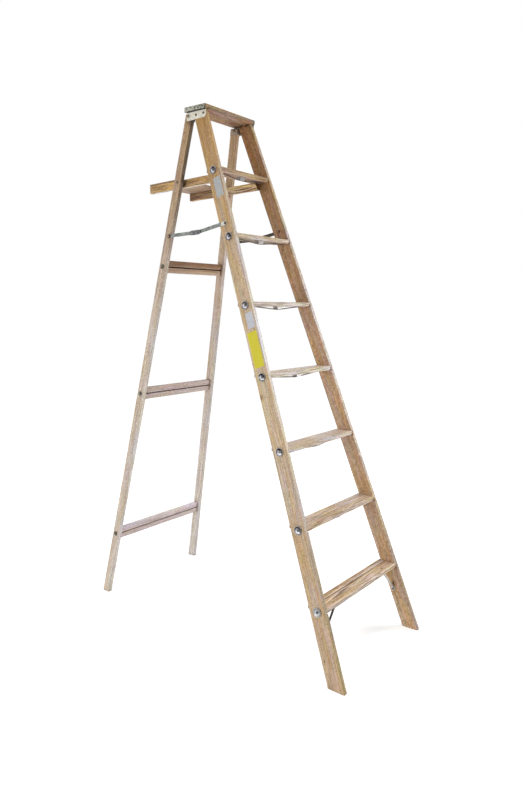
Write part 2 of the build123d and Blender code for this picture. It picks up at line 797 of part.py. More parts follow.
rear_bar_lap = toward(spreader_middle, spreader_rear, spreader_overlap)
pad_ends = (
    toward(spreader_middle, spreader_rear, -spreader_pad_front),
    toward(spreader_middle, spreader_rear, spreader_overlap + spreader_pad_rear),
)
with BuildPart() as left_spreader_rear_bar:
    with BuildSketch(left_face.offset(-rear_bar_inside)):
        for end in pad_ends:
            with Locations(on_face(*end)):
                Circle(spreader_pad_radius)
        make_hull()
        with BuildSketch(mode=Mode.PRIVATE) as bar:
            for end in (spreader_middle, spreader_rear):
                with Locations(on_face(*end)):
                    Circle(spreader_half_width)
            make_hull()
        add(bar.sketch)
        with Locations(on_face(*spreader_rear)):
            Circle(spreader_eye_radius)
        with Locations(on_face(*spreader_rear)):
            Circle(spreader_pin_radius + running_gap, mode=Mode.SUBTRACT)
        for place in (spreader_middle, rear_bar_lap):
            with Locations(on_face(*place)):
                Circle(spreader_pin_radius + fixed_gap, mode=Mode.SUBTRACT)
    extrude(amount=-spreader_sheet)
save(left_spreader_rear_bar, "left_spreader_rear_bar")

with BuildPart() as right_spreader_front_bar:
    mirror(left_spreader_front_bar.part, about=Plane.YZ)
save(right_spreader_front_bar, "right_spreader_front_bar")

with BuildPart() as right_spreader_rear_bar:
    mirror(left_spreader_rear_bar.part, about=Plane.YZ)
save(right_spreader_rear_bar, "right_spreader_rear_bar")

front_bar_outside = front_bar_inside + spreader_sheet + pin_side_gap
front_rivet = clenched(
    spreader_pin_radius, rail_thickness + front_bar_outside, spreader_head_radius, spreader_head_height
)
with BuildPart() as spreader_front_rivets:
    with Locations(*outer_planes(*spreader_front, front_bar_outside)):
        add(front_rivet)
save(spreader_front_rivets, "spreader_front_rivets")

rear_shoulder = leg_inset + rear_bar_inside - pin_side_gap
rear_seat = leg_inset + rear_bar_inside + spreader_sheet + pin_side_gap
rear_rivet = turned(
    (0, rear_seat + spreader_head_height),
    (spreader_head_radius * crown_share, rear_seat + spreader_head_height),
    (spreader_head_radius, rear_seat + spreader_head_height * rim_share),
    (spreader_head_radius, rear_seat),
    (spreader_pin_radius, rear_seat),
    (spreader_pin_radius, rear_shoulder),
    (spreader_shoulder_radius, rear_shoulder),
    (spreader_shoulder_radius, 0),
    (spreader_pin_radius, 0),
    (spreader_pin_radius, -leg_thickness),
    (spreader_head_radius, -leg_thickness),
    (spreader_head_radius * crown_share, -leg_thickness - spreader_head_height * tail_share),
    (0, -leg_thickness - spreader_head_height * tail_share),
)
with BuildPart() as spreader_rear_rivets:
    with Locations(*outer_planes(*spreader_rear, -leg_inset)):
        add(rear_rivet)
save(spreader_rear_rivets, "spreader_rear_rivets")

rear_bar_outside = rear_bar_inside + spreader_sheet
lap_rivet = fastener(spreader_pin_radius, spreader_sheet, spreader_head_radius, spreader_head_height)
for side, name in enumerate(("left", "right")):
    with BuildPart() as lap_rivets:
        for place in (spreader_middle, rear_bar_lap):
            with Locations(outer_planes(*place, rear_bar_outside)[side]):
                add(lap_rivet)
    save(lap_rivets, f"{name}_spreader_lap_rivets")

# Pail shelf: two arms on a bolt through each leg, and a thin board nailed to them
with BuildPart() as left_shelf_arm:
    with BuildSketch(Plane.YZ.offset(-shelf_half_width)):
        Polygon(
            (shelf_nose, shelf_arm_top),
            (shelf_nose - shelf_nose_slant, shelf_arm_top - shelf_arm_height),
            (shelf_y + shelf_tail, shelf_arm_top - shelf_arm_height),
            (shelf_y + shelf_tail, shelf_arm_top),
            align=None,
        )
    extrude(amount=shelf_arm_thickness)
    fillet(left_shelf_arm.edges().filter_by(Axis.Y), edge_radius)
    with Locations(cross_planes(shelf_y, shelf_height, shelf_half_width)[0]):
        Hole(shelf_bolt_radius + running_gap)
    with Locations(*[Plane((-shelf_nail_reach, y, shelf_arm_top)) for y in shelf_nail_places]):
        Hole(shelf_nail_radius + fixed_gap, shelf_nail_seat + shelf_nail_length + fixed_gap)
save(left_shelf_arm, "left_shelf_arm")

with BuildPart() as right_shelf_arm:
    mirror(left_shelf_arm.part, about=Plane.YZ)
save(right_shelf_arm, "right_shelf_arm")

shelf_top_planes = [
    Plane((side * shelf_nail_reach, y, shelf_arm_top + shelf_board_thickness))
    for y in shelf_nail_places
    for side in (-1, 1)
]
with BuildPart() as shelf_board:
    with BuildSketch(Plane.XY.offset(shelf_arm_top)):
        with Locations((0, shelf_y + shelf_board_setback + shelf_board_length / 2)):
            Rectangle(2 * shelf_half_width, shelf_board_length)
    extrude(amount=shelf_board_thickness)
    fillet(shelf_board.edges().group_by(Axis.Z)[-1], edge_radius)
    with Locations(*shelf_top_planes):
        CounterBoreHole(
            shelf_nail_radius + fixed_gap, shelf_nail_head_radius + fixed_gap, shelf_nail_head_height
        )
save(shelf_board, "shelf_board")

shelf_nail = fastener(shelf_nail_radius, shelf_nail_length, shelf_nail_head_radius, shelf_nail_head_height)
with BuildPart() as shelf_nails:
    with Locations(*[plane.offset(-shelf_nail_head_height) for plane in shelf_top_planes]):
        add(shelf_nail)
save(shelf_nails, "shelf_nails")

leg_outside = half_width(shelf_height) - leg_inset * stretch
spacer_start = half_leg_inside(shelf_height) - slant_gap - leg_outside
spacer_end = shelf_half_width + pin_side_gap - leg_outside
nut_start = shelf_half_width - shelf_arm_thickness - pin_side_gap - leg_outside
shelf_bolt = turned(
    (0, slant_gap + shelf_bolt_head_height),
    (shelf_bolt_head_radius * crown_share, slant_gap + shelf_bolt_head_height),
    (shelf_bolt_head_radius, slant_gap + shelf_bolt_head_height * rim_share),
    (shelf_bolt_head_radius, slant_gap),
    (shelf_bolt_radius, slant_gap),
    (shelf_bolt_radius, spacer_start),
    (shelf_spacer_radius, spacer_start),
    (shelf_spacer_radius, spacer_end),
    (shelf_bolt_radius, spacer_end),
    (shelf_bolt_radius, nut_start),
    (shelf_spacer_radius, nut_start),
    (shelf_spacer_radius, nut_start - shelf_nut_height),
    (0, nut_start - shelf_nut_height),
)
with BuildPart() as shelf_pivot_bolts:
    with Locations(*cross_planes(shelf_y, shelf_height, leg_outside)):
        add(shelf_bolt)
save(shelf_pivot_bolts, "shelf_pivot_bolts")

# Rod braces, screwed to the rails and under the lowest step
rod_start = lower_eye + screw_head_radius + eye_neck_gap
rod_turn = lower_eye + brace_neck
rod_end = upper_eye + screw_head_radius + eye_neck_gap
with BuildPart() as left_step_brace:
    with BuildLine(brace_plane) as brace_line:
        FilletPolyline(
            on_brace_plane(rod_off * stretch - half_inside(rod_start), rod_start),
            on_brace_plane(rod_off * stretch - half_inside(rod_turn), rod_turn),
            on_brace_plane(-brace_bend, brace_step - rod_off),
            on_brace_plane(-rod_end, brace_step - rod_off),
            radius=brace_bend_radius,
        )
    with BuildSketch(Plane(brace_line.line @ 0, z_dir=brace_line.line % 0)):
        Circle(brace_radius)
    sweep(path=brace_line.line)
    with BuildSketch(inner_planes(brace_y, lower_eye)[0], under_step_planes()[0]):
        Circle(eye_radius)
        Circle(screw_radius + fixed_gap, mode=Mode.SUBTRACT)
    extrude(amount=eye_sheet)
save(left_step_brace, "left_step_brace")

with BuildPart() as right_step_brace:
    mirror(left_step_brace.part, about=Plane.YZ)
save(right_step_brace, "right_step_brace")

brace_screw = fastener(screw_radius, screw_bite, screw_head_radius, screw_head_height, eye_sheet)
with BuildPart() as brace_screws:
    with Locations(*inner_planes(brace_y, lower_eye), *under_step_planes()):
        add(brace_screw)
save(brace_screws, "brace_screws")


def rail_point(along, setback):
    """Place on the left rail's face, along the rail from the floor and back from its front face."""
    y = along * sin(front_lean) + setback * cos(front_lean) - foot_spread / 2
    height = along * cos(front_lean) - setback * sin(front_lean)
    return on_face(y, height)


def sticker(start, length, width, setback):
    """Blank sticker on the left rail's outer face."""
    with BuildPart() as sheet:
        with BuildSketch(left_face):
            with BuildLine():
                Polyline(
                    rail_point(start, setback),
                    rail_point(start, setback + width),
                    rail_point(start + length, setback + width),
                    rail_point(start + length, setback),
                    close=True,
                )
            make_face()
        extrude(amount=-sticker_sheet)
    return sheet


save(sticker(**upper_sticker), "upper_sticker")
save(sticker(**middle_sticker), "middle_sticker")
save(sticker(**lower_sticker), "lower_sticker")
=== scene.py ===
"""Looks of the wooden stepladder: a material for every piece, and the floor, lamps and camera."""

import math

import bpy
from mathutils import Matrix, Vector


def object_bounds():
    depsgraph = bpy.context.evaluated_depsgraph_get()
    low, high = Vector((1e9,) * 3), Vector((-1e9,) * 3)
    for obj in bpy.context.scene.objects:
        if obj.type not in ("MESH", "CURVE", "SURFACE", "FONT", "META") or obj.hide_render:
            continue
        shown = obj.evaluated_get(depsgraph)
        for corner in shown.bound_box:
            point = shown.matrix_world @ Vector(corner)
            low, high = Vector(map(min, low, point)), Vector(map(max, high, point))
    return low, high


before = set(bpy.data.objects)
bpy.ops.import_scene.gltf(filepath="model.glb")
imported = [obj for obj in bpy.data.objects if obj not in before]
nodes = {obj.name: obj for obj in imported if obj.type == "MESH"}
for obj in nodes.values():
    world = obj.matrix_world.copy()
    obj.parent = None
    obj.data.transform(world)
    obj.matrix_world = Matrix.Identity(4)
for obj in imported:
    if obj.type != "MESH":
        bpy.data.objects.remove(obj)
cad_low, cad_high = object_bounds()

# The photograph's camera.
EYE = Vector((-2.1453, -1.8751, 1.3901))
YAW = math.radians(51.24)
PITCH = math.radians(-5.16)
ROLL = math.radians(-0.48)
SENSOR = 36.0
LENS = 28.2
SHIFT_X = -0.0152
SHIFT_Y = -0.039

# Soft boxes: place, aim, size and power.
LAMPS = {
    "front_box": ((2.1, -2.2, 1.2), (0.0, -0.35, 1.05), 1.3, 70.0),
    "left_box": ((-3.0, 0.0, 1.3), (0.0, 0.1, 1.0), 1.8, 36.0),
    "rear_box": ((-0.8, 3.2, 1.6), (0.0, 0.3, 1.1), 1.6, 45.0),
    "top_box": ((-0.5, -0.8, 6.0), (0.0, -0.2, 1.0), 2.0, 75.0),
}

# Surroundings and floor. A strength of 1 shows as white.
WHITE = (1.0, 1.0, 1.0, 1.0)
WORLD_LIGHT = 0.4
WORLD_SEEN = 1.0
FLOOR_HALF = 40.0
FLOOR_COLOUR = (0.8, 0.8, 0.8, 1.0)
FLOOR_ROUGHNESS = 0.9
FLOOR_GLOW = (0.42, 0.72)  # near the ladder and away from it
FLOOR_GLOW_REACH = (0.8, 2.6)  # distances between which the glow grows

# Wood colours. Long boards have one for the foot, the middle and the top; the pale middles of the rails'
# edges are a painted highlight, and the darker tops of the rails and legs are partly the wood and partly
# painted shade.
RAIL_FACE = {
    "left": [(195, 170, 145), (194, 175, 152), (170, 130, 78)],
    "right": [(201, 169, 139), (182, 149, 122), (144, 103, 58)],
}
RAIL_EDGE = {
    "left": [(160, 142, 112), (218, 214, 214), (172, 134, 66)],
    "right": [(145, 130, 116), (204, 190, 185), (170, 153, 128)],
}
LEG_FACE = {
    "left": [(200, 185, 172), (188, 173, 160), (168, 136, 100)],
    "right": [(213, 204, 197), (192, 174, 162), (184, 152, 112)],
}
LEG_EDGE = {
    "left": [(200, 192, 188), (194, 186, 180), (172, 138, 100)],
    "right": [(196, 186, 188), (172, 166, 164), (188, 156, 118)],
}
# From the front end to the rear end. The right arm's dark rear colour is painted shade under the shelf
# board.
ARM_FACE = {"left": [(165, 131, 88)], "right": [(199, 165, 122), (92, 58, 32)]}
ARM_EDGE = {"left": [(195, 182, 178)], "right": [(154, 118, 84)]}
ARM_COLOUR_RANGE = (0.0, 0.5)  # along the arms, over which their colours are spread
# From the left end to the right end.
CAP_FACE = [(160, 112, 78), (147, 116, 92)]
CAP_EDGE = [(139, 111, 80), (133, 98, 67)]
# From the lower edge to the upper edge.
REAR_RAIL_FACE = [
    [(195, 179, 177), (199, 185, 190)],
    [(179, 164, 157), (181, 164, 162)],
    [(178, 154, 134), (116, 79, 48)],
]
REAR_RAIL_EDGE = [(224, 215, 220), (205, 187, 181), (140, 110, 86)]
# From the lowest step to the highest.
STEP_FACE = [
    (200, 175, 152), (200, 178, 160), (210, 191, 178), (220, 205, 194), (182, 158, 137), (165, 147, 130),
    (178, 145, 122),
]
STEP_EDGE = [
    (184, 167, 150), (172, 152, 132), (185, 175, 170), (183, 174, 166), (184, 170, 154), (194, 180, 168),
    (152, 126, 97),
]
SHELF_FACE = (178, 151, 131)
SHELF_EDGE = (195, 172, 146)
# Colour of the boards' darkened sharp edges: edge grime, and painted shade of the eased edges.
WOOD_EDGE_GRIME_AND_SHADE = (122, 108, 90)
# Colour that corners and recesses darken to: dirt, and painted shade.
WOOD_DIRT_AND_SHADE = (66, 46, 32)

# How strongly the grain, its flecks and clouds, the tints, and the dirt and painted shade in corners
# show on boards unlike most.
RAIL_CONTRAST = {"left": 1.0, "right": 1.25}
RAIL_TINT = {"left": 0.9, "right": 1.15}
RAIL_MOTTLE = {"left": 0.0, "right": 0.14}
RAIL_DIRT_AND_SHADE = {"left": 0.5, "right": 0.1}
LEG_CONTRAST = 1.15
REAR_TINT = 0.55
REAR_RAIL_DIRT_AND_SHADE = (0.55, 0.55, 0.9)
ARM_CONTRAST = {"left": 2.0, "right": 3.0}
ARM_FLECK = 0.1
STEP_CONTRAST = (1.5, 1.5, 0.9, 1.0, 0.9, 1.0, 2.0)
STEP_FLECK = 0.12
CAP_CONTRAST = 2.8
CAP_TINT = 2.2

# Growth rings: the width of one, where the pith lies beside a board, and its slant along the board.
RING_WIDTH = 0.006
PITH = (0.03, 0.11)
ARM_PITH = (0.0, 0.03)
CAP_PITH = (0.02, 0.2)
SLANT = 0.03
ARM_SLANT = 0.08
STEP_SLANT = 0.05

# Seeds of the boards' grain. Boards of one kind count on from theirs.
RAIL_SEED = 3
LEG_SEED = 7
ARM_SEED = 11
STEP_SEED = 20
CAP_SEED = 31
SHELF_SEED = 33
REAR_RAIL_SEED = 40
# How far one step of the seed moves the noises, for three kinds of layer.
SEED_SHIFTS = ((1.37, 0.71, 0.29), (0.83, 1.91, 0.47), (0.37, 0.53, 1.73))

# Grain layers: repeats per metre along and across a board, the shift that they take, and their detail.
GRAIN = {
    "bands": ((1.6, 80.0), 0, 2.0),
    "streaks": ((10.0, 290.0), 0, 2.0),
    "fibres": ((70.0, 460.0), 0, 2.0),
    "flecks": ((260.0, 420.0), 2, 1.0),
    "clouds": ((50.0, 75.0), 1, 2.0),
    "blush": ((14.0, 70.0), 1, 2.0),
    "honey": ((5.0, 55.0), 2, 2.0),
}
WANDER_REPEATS = (1.8, 9.0)
WANDER_REACH = 0.03  # full sideways range of the wandering grain
# Parts that the layers have in the grain's tone. The streaks have what is left.
BAND_PART = 0.15
RING_PART = 0.12
FIBRE_PART = 0.18
# Multipliers at the dark and at the light end of the grain's tone and of the two tints.
TONE_TINT = ((0.61, 0.53, 0.46), (1.29, 1.36, 1.44))
BLUSH_TINT = ((0.96, 1.02, 0.9), (1.04, 0.98, 1.06))
HONEY_TINT = ((0.95, 1.0, 1.14), (1.06, 0.98, 0.74))
SAWN_END_TINT = (0.5, 0.44, 0.38, 1.0)
WOOD_ROUGHNESS = (0.62, 0.44)  # in the dark and in the light grain
WOOD_RELIEF = 0.0005
WOOD_SHINE = 0.15

# Knots, nicks, stains and painted shade: centre and half size along a board's own axes, strength and
# colour.
RAIL_MARKS = {
    "left": [
        ((0.88, -0.6164, 0.2919), (0.02, 0.011, 0.03), 0.75, (128, 96, 62)),
        ((-0.1369, -0.6223, 0.2918), (0.008, 0.006, 0.03), 0.8, (104, 82, 60)),
        ((-0.135, -0.6471, 0.2912), (0.05, 0.006, 0.03), 0.5, (186, 128, 70)),
    ],
    "right": [
        # All four right rail marks are painted shade: a shadow by the brace's eye low down, shade along
        # the rear arris, and two patches of shade under the cap.
        ((-0.0403, 0.6345, 0.2725), (0.016, 0.007, 0.03), 0.85, (62, 44, 32)),
        ((1.3, 0.6078, 0.273), (1.6, 0.004, 0.03), 0.55, (92, 64, 40)),
        ((2.167, 0.622, 0.2725), (0.009, 0.024, 0.03), 0.9, (48, 32, 22)),
        ((2.154, 0.658, 0.2725), (0.009, 0.024, 0.03), 0.9, (48, 32, 22)),
    ],
}
LEG_MARKS = {
    # The leg marks are painted shade: under the left hinge plate, and down the tops of both legs' front
    # edges.
    "left": [
        ((2.118, 0.651, 0.2944), (0.03, 0.06, 0.03), 0.6, (66, 48, 36)),
        ((2.2, 0.6577, 0.286), (0.8, 0.0035, 0.05), 0.76, (48, 34, 18)),
    ],
    "right": [((1.95, -0.6577, 0.2768), (0.25, 0.005, 0.05), 0.3, (78, 60, 50))],
}
CAP_MARKS = [((0.165, 0.0762, 2.275), (0.036, 0.014, 0.04), 0.85, (112, 107, 95))]
STEP_MARKS = {
    1: [
        ((0.03, -0.566, 0.2843), (0.5, 0.0042, 0.02), 0.85, (104, 74, 46)),
        ((0.03, -0.543, 0.2843), (0.5, 0.003, 0.02), 0.6, (112, 84, 58)),
        ((-0.155, -0.5885, 0.2843), (0.06, 0.006, 0.02), 0.9, (104, 68, 36)),
        ((-0.095, -0.5785, 0.2843), (0.06, 0.006, 0.02), 0.9, (104, 68, 36)),
        ((-0.035, -0.5685, 0.2843), (0.06, 0.006, 0.02), 0.9, (104, 68, 36)),
        ((0.1831, -0.5962, 0.2843), (0.014, 0.008, 0.02), 0.85, (112, 74, 44)),
    ],
    2: [((-0.1197, -0.481, 0.5716), (0.04, 0.014, 0.02), 0.5, (150, 146, 138))],
}

# Steel colours: bright and dull.
BRACKET_PLATE = ((222, 219, 206), (196, 192, 178))
BRACKET_FLANGE = ((176, 176, 162), (84, 84, 74))
BRACKET_RIVET = ((112, 92, 72), (64, 50, 38))
# The left ferrule's dark colours are painted shade.
FERRULE = {"left": ((60, 54, 44), (36, 32, 27)), "right": ((150, 132, 116), (134, 118, 104))}
# The right spreader's dark colours are painted shade.
SPREADER = {"left": ((136, 140, 136), (92, 94, 90)), "right": ((72, 64, 56), (46, 40, 34))}
SPREADER_FRONT_RIVET = ((104, 92, 74), (62, 52, 42))
SPREADER_REAR_RIVET = ((172, 154, 132), (108, 86, 66))
LAP_RIVET = ((124, 122, 124), (88, 86, 88))
# The left brace's near-black colours are painted shade.
BRACE = {"left": ((62, 58, 60), (38, 36, 38)), "right": ((216, 214, 210), (172, 170, 164))}
BLOCK = ((214, 212, 210), (168, 166, 164))
STEP_ROD = ((88, 74, 66), (52, 42, 36))
REAR_ROD = ((142, 80, 68), (106, 56, 48))
TOP_REAR_ROD = ((78, 50, 34), (48, 30, 20))
STEP_WASHER = ((192, 185, 176), (142, 134, 125))
REAR_WASHER = ((112, 110, 98), (66, 64, 56))
PIVOT_RIVET = ((138, 122, 100), (84, 70, 54))
NAIL = ((96, 90, 82), (58, 52, 46))
# Colours of single places on the steel pieces.
# Painted shade along the brackets' bend, under the cap's overhang.
BRACKET_BEND_SHADE = (50, 46, 40)
BRACKET_RIVET_STAIN = (146, 108, 72)
SPREADER_RIVET_STAIN = (84, 48, 30)
# The left spreader's pale front end is a painted highlight; the right spreader's dark ends and lap are
# painted shade.
SPREADER_FRONT_END = {"left": (190, 186, 178), "right": (60, 52, 44)}
SPREADER_REAR_END = {"left": (74, 52, 36), "right": (60, 52, 44)}
SPREADER_LAP = {"left": (96, 94, 98), "right": (48, 42, 38)}
# Painted shade on the truss blocks' folded sides.
BLOCK_SIDE_SHADE = (136, 133, 132)
STEP_ROD_HEAD = (130, 126, 124)
REAR_ROD_HEAD = (128, 126, 118)
ROD_HEAD_DULL = (60, 58, 60)
# Colours of the washers' dishes: painted shade at the top and a painted highlight at the bottom, and the
# flatter, paler colours of the lowest pair.
WASHER_WALL = ((34, 32, 38), (128, 124, 126))
WASHER_FLOOR = ((38, 36, 42), (207, 207, 213))
LOWEST_PAIR_WALL = (160, 162, 160)
LOWEST_PAIR_FLOOR = (178, 180, 182)
# Colour that the steel's recesses darken to: grime, and painted shade.
STEEL_GRIME_AND_SHADE = (44, 38, 34)

# Zinc coats: repeats per metre of the spangle, and how the coat wears.
PLATE_SPANGLE = 150.0
WIDE_SPANGLE = 110.0
ROD_SPANGLE = 260.0
FINE_SPANGLE = 320.0
SPANGLE_PART = 0.25
CLOUD_REPEATS = 0.4  # for each one of the spangle's
WORN_GAIN = 1.25
WORN_STRENGTH = 0.5
SCRATCHES = (40.0, 900.0, 240.0)  # repeats per metre
SCRATCH_DEPTH = 0.0002
STEEL_SHINE = 0.5

# Sticker colours: fresh and faded.
UPPER_STICKER = ((158, 160, 160), (186, 186, 184))
MIDDLE_STICKER = ((176, 178, 186), (200, 200, 204))
LOWER_STICKER = ((196, 184, 6), (204, 194, 44))

# What the frame's boxes don't give, in metres and radians.
CAP_TILT = math.radians(2.5)
LAP_LENGTH = 0.0645  # of the spreaders' middle, back from the front end of the rear bar
SPREADER_END = 0.02  # from a pivot to where the differently coloured end stops
SPREADER_FADE = 0.006  # over which one colour of the spreaders passes into the next
BEND_DROP = 0.0025  # of the brackets' bend, below the cap's underside
DISH_DROP = 0.0005  # of the shading in the washers' dishes, below the washers' middles


def box(name):
    """Low and high corner of a CAD node."""
    columns = list(zip(*(vertex.co for vertex in nodes[name].data.vertices)))
    low = Vector([min(column) for column in columns])
    high = Vector([max(column) for column in columns])
    return low, high


def middle(name):
    """Centre of a CAD node's box."""
    low, high = box(name)
    return (low + high) / 2


def reach(name, direction):
    """From where to where a CAD node reaches along a direction."""
    along = [direction.dot(vertex.co) for vertex in nodes[name].data.vertices]
    return min(along), max(along)


# Slopes and places of the pieces, from the frame. A slope is sideways travel for each metre of height.
step_count = len(STEP_FACE)
lowest_step = middle("step_1")
highest_step = middle(f"step_{step_count}")
climb = highest_step.z - lowest_step.z
step_pitch = climb / (step_count - 1)
front_slope = (highest_step.y - lowest_step.y) / climb
flare = (box("step_1")[1].x - box(f"step_{step_count}")[1].x) / climb
rear_rail_count = len(REAR_RAIL_FACE)
lowest_rail = middle("rear_rail_1")
highest_rail = middle(f"rear_rail_{rear_rail_count}")
rear_slope = (lowest_rail.y - highest_rail.y) / (highest_rail.z - lowest_rail.z)
half_width_at_floor = cad_high[0]
ladder_height = cad_high[2]
cap_low, cap_high = box("top_cap")
washers_low, washers_high = box("step_rod_washers")
washer_radius = (washers_high.y - washers_low.y - climb * front_slope) / 2
lowest_dish_y = washers_low.y + washer_radius
lowest_dish_z = (washers_low.z + washers_high.z - climb) / 2 - DISH_DROP
spreader_front = middle("spreader_front_rivets").y
spreader_rear = middle("spreader_rear_rivets").y
lap_start = box("left_spreader_rear_bar")[0].y


def linear(red, green, blue):
    """A colour as the shaders take it, from the 0 to 255 values it shows as."""
    def channel(value):
        share = value / 255
        return share / 12.92 if share <= 0.04045 else ((share + 0.055) / 1.055) ** 2.4
    return (channel(red), channel(green), channel(blue), 1.0)


class Graph:
    """One material's nodes. A value given to a socket is either a constant or another node's output."""

    def __init__(self, name):
        self.material = bpy.data.materials.new(name)
        self.material.use_nodes = True
        self.tree = self.material.node_tree
        self.shader = self.tree.nodes["Principled BSDF"]

    def put(self, socket, value):
        if isinstance(value, bpy.types.NodeSocket):
            self.tree.links.new(value, socket)
        else:
            socket.default_value = value

    def node(self, kind, settings, inputs):
        made = self.tree.nodes.new("ShaderNode" + kind)
        for key, value in settings.items():
            setattr(made, key, value)
        for key, value in inputs.items():
            self.put(made.inputs[key], value)
        return made

    def math(self, operation, first, second=0.0):
        return self.node("Math", {"operation": operation}, {0: first, 1: second}).outputs[0]

    def total(self, *parts):
        """Weighted sum of (weight, output) pairs."""
        summed = None
        for weight, part in parts:
            share = self.math("MULTIPLY", part, weight)
            summed = share if summed is None else self.math("ADD", summed, share)
        return summed

    def vector(self, operation, first, second):
        return self.node("VectorMath", {"operation": operation}, {0: first, 1: second})

    def length(self, vector):
        return self.vector("LENGTH", vector, (0.0, 0.0, 0.0)).outputs["Value"]

    def axes(self, vector):
        return self.node("SeparateXYZ", {}, {"Vector": vector}).outputs

    def remap(self, value, low, high, to_low=0.0, to_high=1.0):
        inputs = {"Value": value, "From Min": low, "From Max": high, "To Min": to_low, "To Max": to_high}
        return self.node("MapRange", {"interpolation_type": "SMOOTHSTEP"}, inputs).outputs["Result"]

    def stretch(self, noise):
        """A noise, most of which lies near 0.5, drawn out over 0 to 1."""
        return self.remap(noise, 0.3, 0.7)

    def mix(self, share, first, second, blend="MIX"):
        made = self.node("Mix", {"data_type": "RGBA", "blend_type": blend}, {"Factor": share})
        self.put(made.inputs[6], first)
        self.put(made.inputs[7], second)
        return made.outputs[2]

    def ramp(self, share, colours):
        """Colours spread evenly over a share from 0 to 1. A single colour stays a constant."""
        if len(colours) == 1:
            return linear(*colours[0])
        made = self.node("ValToRGB", {}, {"Fac": share})
        stops = made.color_ramp.elements
        while len(stops) < len(colours):
            stops.new(1.0)
        for number, colour in enumerate(colours):
            stops[number].position = number / (len(colours) - 1)
            stops[number].color = linear(*colour)
        return made.outputs["Color"]

    def place(self, vector, scale, shift=(0.0, 0.0, 0.0)):
        inputs = {"Vector": vector, "Scale": scale, "Location": shift}
        return self.node("Mapping", {}, inputs).outputs["Vector"]

    def noise(self, vector, scale=1.0, detail=2.0, roughness=0.5):
        inputs = {"Vector": vector, "Scale": scale, "Detail": detail, "Roughness": roughness}
        return self.node("TexNoise", {}, inputs).outputs

    def grain(self, vector, repeats, shift, detail=2.0):
        """A noise drawn out along a board, from its repeats per metre along and across."""
        along, across = repeats
        return self.noise(self.place(vector, (along, across, across), shift), detail=detail)

    def object_place(self):
        return self.node("TexCoord", {}, {}).outputs["Object"]

    def object_normal(self):
        return self.node("TexCoord", {}, {}).outputs["Normal"]

    def facing(self, turn, axis):
        """How squarely a surface faces along one of a board's own axes, from 0 to 1."""
        direction = Vector(axis)
        direction.rotate(turn)
        facing = self.vector("DOT_PRODUCT", self.object_normal(), tuple(direction)).outputs["Value"]
        return self.math("ABSOLUTE", facing)

    def edge_wear(self, radius):
        """1 along sharp edges, 0 on flat faces."""
        rounded = self.node("Bevel", {"samples": 4}, {"Radius": radius}).outputs["Normal"]
        flat = self.node("NewGeometry", {}, {}).outputs["Normal"]
        turn = self.vector("DOT_PRODUCT", rounded, flat).outputs["Value"]
        return self.remap(turn, 0.98, 0.82)

    def recess(self, distance):
        """1 deep in corners and cups, 0 in the open."""
        openness = self.node("AmbientOcclusion", {"samples": 4}, {"Distance": distance}).outputs["AO"]
        return self.remap(openness, 0.8, 0.25)

    def bump(self, height, depth, strength=1.0):
        inputs = {"Height": height, "Distance": depth, "Strength": strength}
        return self.node("Bump", {}, inputs).outputs["Normal"]


def board_turn(along, outward):
    """Rotation to a board's own axes: x along its length, y across its width, z through it."""
    length = Vector(along).normalized()
    thickness = Vector(outward)
    thickness = (thickness - length * length.dot(thickness)).normalized()
    width = thickness.cross(length)
    return Matrix((length, width, thickness)).transposed().to_euler()


def wandering(graph, board, shift):
    """Places on a board, moved sideways so that its grain wanders."""
    wander = graph.grain(board, WANDER_REPEATS, shift)["Color"]
    wander = graph.vector("SUBTRACT", wander, (0.5, 0.5, 0.5)).outputs["Vector"]
    wander = graph.vector("MULTIPLY", wander, (0.0, WANDER_REACH, WANDER_REACH)).outputs["Vector"]
    return graph.vector("ADD", board, wander).outputs["Vector"]


def growth_rings(graph, bent, pith, slant):
    """Rings about a pith that lies beside the board and slants along it."""
    inputs = {"Vector": bent, "Location": (0.0, *pith), "Rotation": (0.0, slant, slant * 0.6)}
    about_pith = graph.node("Mapping", {}, inputs).outputs["Vector"]
    settings = {"wave_type": "RINGS", "rings_direction": "X", "wave_profile": "SAW"}
    rings_scale = math.pi / 10 / RING_WIDTH  # the texture's rings are pi / 10 apart at a scale of 1
    inputs = {"Vector": about_pith, "Scale": rings_scale, "Distortion": 1.5, "Detail Scale": 0.4}
    return graph.node("TexWave", settings, inputs).outputs["Fac"]


def tinted(graph, colour, amount, tint, power):
    """A colour multiplied from a tint's dark end to its light end."""
    ends = [(*[channel ** power for channel in end], 1.0) for end in tint]
    return graph.mix(1.0, colour, graph.mix(amount, *ends), "MULTIPLY")


def marked(graph, colour, board, marks, layers):
    """A board's colour with its knots, nicks, stains and painted shade, ragged along the grain."""
    for centre, size, strength, shade in marks:
        away = graph.vector("SUBTRACT", board, centre).outputs["Vector"]
        away = graph.length(graph.vector("DIVIDE", away, size).outputs["Vector"])
        ragged = graph.total((1.0, away), (0.6, layers["streaks"]), (0.4, layers["fibres"]))
        colour = graph.mix(graph.remap(ragged, 1.5, 0.8, 0.0, strength), colour, linear(*shade))
    return colour


